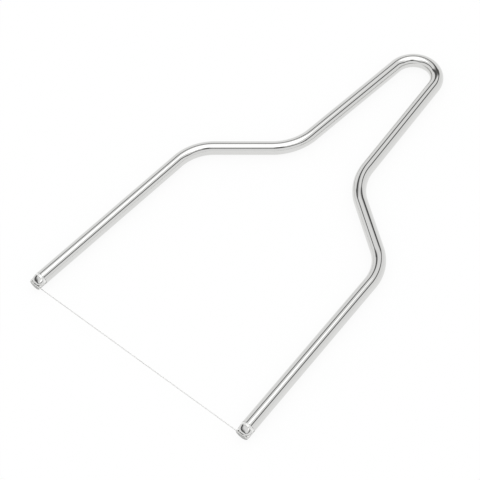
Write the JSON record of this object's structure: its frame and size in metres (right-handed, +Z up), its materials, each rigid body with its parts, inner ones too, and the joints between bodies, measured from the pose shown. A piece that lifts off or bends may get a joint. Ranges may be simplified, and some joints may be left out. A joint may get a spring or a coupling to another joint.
{
  "type": "wire butter slicer",
  "caption": "Slicer bent from round steel rod, with a looped handle, flared shoulders and slightly splayed legs that hold a taut cutting wire clamped across their tips.",
  "frame": {"origin": "on the table that the slicer lies on, under the middle of its length and width", "axes": "+Y from the tips to the handle, +X across to the right leg seen from above with the handle away, +Z up"},
  "size_m": [0.1184, 0.1976, 0.006],
  "materials": {
    "polished_rod": "mirror polished",
    "wire": "drawn",
    "turned_steel": "turned and polished",
    "screw_steel": "turned"
  },
  "bodies": {
    "root": {"bent_rod_frame": "polished_rod", "cutting_wire": "wire", "left_wire_clamp": "turned_steel", "right_wire_clamp": "turned_steel", "left_clamp_screw": "screw_steel", "right_clamp_screw": "screw_steel"}
  },
  "joints": []
}
